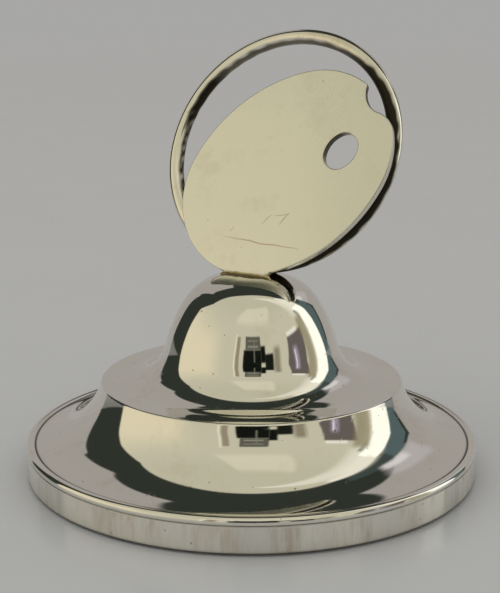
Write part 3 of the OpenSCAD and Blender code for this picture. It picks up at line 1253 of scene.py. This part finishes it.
def inset(outline: np.ndarray, depth: float) -> np.ndarray:
    """Moves a closed outline inwards by depth, square to the chord between its neighbours.

    Args:
        outline: Points, anticlockwise.
        depth: How far; below zero moves it outwards.

    Returns:
        The moved points.
    """
    way = np.roll(outline, -1, 0) - np.roll(outline, 1, 0)
    way /= np.linalg.norm(way, axis=1, keepdims=True)
    return outline + depth * np.stack([-way[:, 1], way[:, 0]], -1)


def capped(rows: np.ndarray) -> tuple[np.ndarray, list[list[int]]]:
    """Closes a tube of sections at both ends with a fan about the middle of the section.

    Args:
        rows: Points, as round the section by along the tube.

    Returns:
        The points and the faces.
    """
    across, along = rows.shape[:2]
    points = rows.transpose(1, 0, 2).reshape(-1, 3)
    faces = grid_faces(along, across, False, True).tolist()
    faces += fan(len(points), 0, across, back=True)
    faces += fan(len(points) + 1, len(points) - across, across)
    ends = np.stack([rows[:, 0].mean(0), rows[:, -1].mean(0)])
    return np.concatenate([points, ends]), faces


# ---------------------------------------------------------------- studio


@dataclass(frozen=True)
class Patch:
    """One thing that the polished metal mirrors, by where it stands round the object.

    Sides are degrees to the right of the camera as seen from the object, heights are
    degrees above the level, and slant moves the sides by that much for each degree up.
    Over is the angle of a way looked at from the side: 0 is level behind the object, 90
    straight up and 180 level in front. A line of one such angle is a level straight edge.
    """

    left: float
    right: float
    low: float
    high: float
    colour: Colour
    soft: float = 1.5
    slant: float = 0.0
    strength: float = 1.0
    over: tuple[float, float] | None = None


CREAM: Colour = (0.60, 0.585, 0.465)
GREY: Colour = (0.39, 0.373, 0.36)
GLOOM: Colour = (0.030, 0.037, 0.031)
SLATE: Colour = (0.090, 0.135, 0.145)
WHITE: Colour = (1.18, 1.2, 1.13)

ROUND_ABOUT = (
    # The tent of pale cloth in front and over the top, lighter low on the left.
    Patch(-400, 400, -95, 95, CREAM, 1.0, over=(81, 400)),
    Patch(-106.5, 98, -95, 95, CREAM, 1.0),
    Patch(-120, -50, -20, 30, (0.84, 0.76, 0.56), 14, 0.0, 0.8),
    Patch(-400, 400, 50, 95, (0.53, 0.52, 0.405), 14, 0.0, 0.6, over=(80, 400)),
    Patch(-67, -5, 45, 66, (0.84, 0.80, 0.66), 4, 0.8, 0.5),
    Patch(80, 100, 34, 95, (0.80, 0.78, 0.68), 6),
    # The dark room past both edges of the tent, above the backdrop and through its dip.
    Patch(-136, -106.5, -95, 31, GLOOM, 1.0),
    Patch(-151, -119.1, 29, 48, GLOOM, 1.0, 0.42),
    Patch(-400, -98.9, 46, 95, GLOOM, 1.0, over=(55, 81)),
    Patch(-400, -192.5, 24, 60, GLOOM, 1.0, 0.58, over=(0, 81)),
    Patch(198.9, 400, 22, 60, GLOOM, 1.0, -0.895, over=(0, 81)),
    Patch(106, 400, 36, 95, GLOOM, 1.2, over=(55, 81)),
    Patch(104, 125, -95, 16, SLATE, 1.0, 0.45),
    Patch(104, 139.2, 15, 38, SLATE, 1.0, -0.48),
    Patch(104, 120.5, 36, 60, (0.052, 0.070, 0.067), 1.5),
    Patch(122, 125, 2, 16, GLOOM, 0.8, 0.45),
    Patch(136.5, 139, 15, 24, GLOOM, 0.8, -0.48),
    Patch(140, 158, 22, 46, (0.58, 0.56, 0.60), 3, -0.48, 0.5),
    Patch(140.4, 148, 31, 46, (0.74, 0.73, 0.76), 2.4, -0.48, 0.9),
    # The bright gap at the right edge of the tent.
    Patch(90, 106, -95, 60, (0.9, 0.88, 0.76), 6),
    Patch(97, 115, -95, 19, WHITE, 1.0, -0.1),
    Patch(104, 120, 18, 42, WHITE, 1.0, -0.35),
    Patch(92, 100.3, 41, 66, (0.90, 0.88, 0.78), 2.0, 0.13),
    # The camera on its stand, with what stands either side of it.
    Patch(-24, -22.5, 0, 36, (0.9, 0.86, 0.7), 0.7, 0.0, 0.8),
    Patch(-21.5, -16.5, 0, 34, (0.20, 0.15, 0.09), 1.0, 0.0, 0.7),
    Patch(-9, 13, 24, 35, (0.115, 0.115, 0.09), 0.8),
    Patch(-6, 9, 26, 27.5, (0.30, 0.30, 0.26), 0.6),
    Patch(-6, 9, 31, 32, (0.26, 0.26, 0.22), 0.6),
    Patch(-11, 13, -8, 24, (0.006, 0.008, 0.006), 0.8),
    Patch(3, 4.5, 14, 31, (0.22, 0.22, 0.18), 0.6, 0.0, 0.7),
    Patch(12.5, 19, 13, 27, (0.006, 0.008, 0.006), 1.0),
    Patch(18, 30, -8, 20, (0.010, 0.012, 0.009), 1.2),
    Patch(29, 38, -8, 24, (0.20, 0.17, 0.12), 3.0, 0.1, 0.8),
    Patch(48, 76, -5, 28, (0.14, 0.12, 0.115), 1.2, 0.25),
    Patch(53, 72, 28, 31, (0.95, 0.92, 0.88), 1.2, 0.1, 0.8),
    Patch(60, 66, 4, 19, (0.42, 0.36, 0.48), 2.5, 0.0, 0.8),
    Patch(61, 62.5, 7, 17, (0.9, 0.85, 1.0), 0.8, 0.0, 0.8),
    Patch(80, 94, -5, 34, (0.30, 0.27, 0.17), 3.0, 0.0, 0.8),
)


@dataclass
class Studio:
    """Plain floor, soft light, what the metal mirrors, and the camera."""

    camera_turn: float = math.radians(29.9)
    camera_pitch: float = math.radians(10.78)
    camera_far: float = 109.69
    aim_height: float = 20.0
    lens: float = 80.1
    sensor: float = 36.0
    shift: tuple[float, float] = (-0.0025, -0.1037)
    pale: Colour = (0.392, 0.390, 0.383)
    board: tuple[Colour, Colour] = ((0.420, 0.420, 0.406), (0.428, 0.427, 0.413))
    gloss: float = 0.16
    index: float = 1.3
    # From how far off, in metres, the board fades into the backdrop, and where it has.
    fade: tuple[float, float] = (0.25, 1.2)
    daylight: float = 0.92
    lamp_place: tuple[float, float, float] = (-0.25, -0.3, 0.7)
    lamp_size: float = 0.5
    lamp_power: float = 0.55

    def mirrored_group(self) -> bpy.types.NodeTree:
        """What stands round the object, as a colour for each way out from it.

        The way out is turned so that the camera is straight ahead, then given as an angle
        to the side and one above the level, and each patch is laid over the ones before it.

        Returns:
            A group from Vector to Colour.
        """
        g = new_group("round_about", {"Vector": VECTOR}, {"Colour": COLOUR})
        vector = g.tree.nodes[0].outputs[0]
        unit = g.add("ShaderNodeVectorMath", {0: vector}, operation="NORMALIZE").outputs[0]
        ahead = g.turned(unit, (0, 0, -self.camera_turn), (1, 1, 1))
        x, y, z = g.add("ShaderNodeSeparateXYZ", {0: ahead}).outputs
        wander = g.math("MULTIPLY_ADD", g.noise(unit, 3.0, 2.0), 3.0, -1.5)
        turned = g.math("DEGREES", g.math("ARCTAN2", x, g.times(y, -1.0)))
        side = g.math("ADD", turned, wander)
        height = g.math("DEGREES", g.math("ARCSINE", z))
        over = g.math("DEGREES", g.math("ARCTAN2", z, y))
        colour: object = GREY
        for patch in ROUND_ABOUT:
            moved = g.math("SUBTRACT", side, g.times(height, patch.slant))
            across = g.window(moved, patch.left, patch.right, patch.soft)
            up = g.window(height, patch.low, patch.high, patch.soft)
            if patch.over:
                up = g.times(up, g.window(over, *patch.over, patch.soft))
            colour = g.mix(g.times(across, up, patch.strength), colour, patch.colour)
        return close_group(g, {"Colour": colour})

    def light_world(self, mirrored: bpy.types.NodeTree) -> None:
        """Lights the room: pale to the camera, plain white to matt stuff, the room to metal.

        Args:
            mirrored: The group of what stands round the object.
        """
        world = bpy.data.worlds.new("studio")
        bpy.context.scene.world = world
        world.use_nodes = True
        g = Graph(world.node_tree)
        g.tree.nodes.clear()
        room = g.use(mirrored, g.add("ShaderNodeTexCoord").outputs["Generated"])
        colour = g.mix(g.bounced(), (self.daylight,) * 3, room)
        seen = g.add("ShaderNodeLightPath").outputs["Is Camera Ray"]
        colour = g.mix(seen, colour, self.pale)
        sky = g.add("ShaderNodeBackground", {"Color": colour, "Strength": 1.0})
        g.add("ShaderNodeOutputWorld", {"Surface": sky.outputs[0]})

    def lay_floor(self, mirrored: bpy.types.NodeTree) -> None:
        """Lays a wide plain floor that fades into the backdrop far from the object.

        Args:
            mirrored: The group of what stands round the object.
        """
        spokes = 96
        rings = np.concatenate([np.linspace(1, 60, 30), np.geomspace(70, 4000, 24)])[:, None]
        angle = np.linspace(0, TURN, spokes, endpoint=False)[None, :]
        points = np.stack([rings * np.cos(angle), rings * np.sin(angle), 0 * rings * angle], -1)
        points = np.concatenate([points.reshape(-1, 3), [[0, 0, 0]]]) * MM
        faces = grid_faces(len(rings), spokes, False, True)[:, ::-1].tolist()
        faces += fan(len(points) - 1, 0, spokes)
        mesh = bpy.data.meshes.new("floor")
        mesh.from_pydata(points.tolist(), [], faces)
        mesh.materials.append(self.floor_finish(mirrored))
        floor = bpy.data.objects.new("floor", mesh)
        bpy.context.scene.collection.objects.link(floor)

    def floor_finish(self, mirrored: bpy.types.NodeTree) -> bpy.types.Material:
        """Smooth pale board with a weak blurred gloss.

        Args:
            mirrored: The group of what stands round the object.

        Returns:
            The material.
        """
        material, g, shader = new_material("pale_board")
        where = g.add("ShaderNodeTexCoord").outputs["Object"]
        mottled = g.noise(where, 60.0, 4.0)
        colour = g.mix(g.ease(mottled, 0.3, 0.7), *self.board)
        g.feed(shader, {"Base Color": colour, "Roughness": self.gloss, "IOR": self.index})
        far = g.add("ShaderNodeVectorMath", {0: where}, operation="LENGTH").outputs["Value"]
        seen = g.mix(g.bounced(), self.pale, g.use(mirrored, where))
        glow = g.add("ShaderNodeEmission", {"Color": seen, "Strength": 1.0}).outputs[0]
        halves = {0: g.ease(far, *self.fade), 1: shader.outputs[0], 2: glow}
        both = g.add("ShaderNodeMixShader", halves)
        output = next(n for n in g.tree.nodes if n.type == "OUTPUT_MATERIAL")
        g.feed(output, {"Surface": both.outputs[0]})
        return material

    def hang_lamp(self) -> None:
        """Hangs one wide soft lamp above the front left, which only shades matt stuff."""
        light = bpy.data.lights.new("soft_lamp", "AREA")
        light.shape = "DISK"
        light.size = self.lamp_size
        light.energy = self.lamp_power
        lamp = bpy.data.objects.new("soft_lamp", light)
        lamp.location = self.lamp_place
        x, y, z = self.lamp_place
        lamp.rotation_euler = (math.atan2(math.hypot(x, y), z), 0.0, math.atan2(x, -y))
        lamp.visible_glossy = False
        lamp.visible_camera = False
        bpy.context.scene.collection.objects.link(lamp)

    def set_camera(self) -> None:
        """Sets the camera at its angle, aimed level with the middle of the object."""
        data = bpy.data.cameras.new("camera")
        data.lens = self.lens
        data.sensor_width = self.sensor
        data.shift_x, data.shift_y = self.shift
        data.clip_start = 0.005
        camera = bpy.data.objects.new("camera", data)
        flat = self.camera_far * math.cos(self.camera_pitch)
        camera.location = (
            flat * math.sin(self.camera_turn) * MM,
            -flat * math.cos(self.camera_turn) * MM,
            (self.aim_height + self.camera_far * math.sin(self.camera_pitch)) * MM,
        )
        camera.rotation_euler = (math.pi / 2 - self.camera_pitch, 0.0, self.camera_turn)
        bpy.context.scene.collection.objects.link(camera)
        bpy.context.scene.camera = camera

    def build(self) -> None:
        """Builds the floor, the light and the camera."""
        mirrored = self.mirrored_group()
        self.light_world(mirrored)
        self.lay_floor(mirrored)
        self.hang_lamp()
        self.set_camera()
        bpy.context.scene.view_settings.view_transform = "Standard"


# ---------------------------------------------------------------- all together


def dress_hidden_nodes() -> None:
    """Gives the nodes that stay from the frame their own stuff: pitch and card."""
    pitch = Plain("black_pitch", (0.035, 0.022, 0.014), (0.012, 0.008, 0.006), 900.0, 0.02, 0.35)
    straw, shadow = (0.32, 0.22, 0.11), (0.20, 0.13, 0.06)
    card = Plain("strawboard", straw, shadow, 2200.0, 0.02, 0.85, (1, 0.3, 1))
    for node, finish, slot in (
        ("pitch_filling", pitch, Slot.PITCH),
        ("closing_disc", card, Slot.CARD),
    ):
        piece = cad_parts[node]
        piece.data.materials.clear()
        piece.data.materials.append(finish.build())
        log.info("%s: kept from the frame, %s", node, slot.value)


def main() -> None:
    """Builds the holder and the studio, in order."""
    logging.basicConfig(level=logging.INFO, format="%(name)s: %(message)s")
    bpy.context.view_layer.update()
    groups = build_groups()
    sheet = Silver("spun_silver", smudge=0.5).build(groups)
    plate = Silver(
        "rolled_silver", (0.86, 0.83, 0.71), roughness=0.24, speck_share=0.012, marks=SCRATCHES
    ).build(groups)
    wire = Silver("drawn_silver", (0.84, 0.80, 0.70), roughness=0.07, tarnish_share=0.35)
    solder = Silver("old_solder", (0.62, 0.48, 0.24), roughness=0.22, tarnish_share=0.8)
    felt = Plain("baize", (0.045, 0.13, 0.055), (0.02, 0.06, 0.028), 5200.0, 0.06, 0.95)
    base = Base()
    base.make_shell(Dress(sheet, Slot.SHEET, ("base_shell",)))
    base.make_dome(Dress(sheet, Slot.SHEET, ("dome_cap",)))
    base.make_felt(Dress(felt.build(), Slot.FELT, ("felt_pad",)))
    uprights = Uprights()
    uprights.make_plate(Dress(plate, Slot.PLATE, ("palette_plate",)))
    uprights.make_ring(Dress(wire.build(groups), Slot.WIRE, ("ring_wire",)))
    run = Dress(solder.build(groups), Slot.SOLDER, ("palette_solder",))
    uprights.make_plate_solder(base, run)
    uprights.make_ring_solder(base, Dress(sheet, Slot.SOLDER, ("ring_solder",)))
    dress_hidden_nodes()
    Studio().build()


if __name__ == "__main__":
    main()
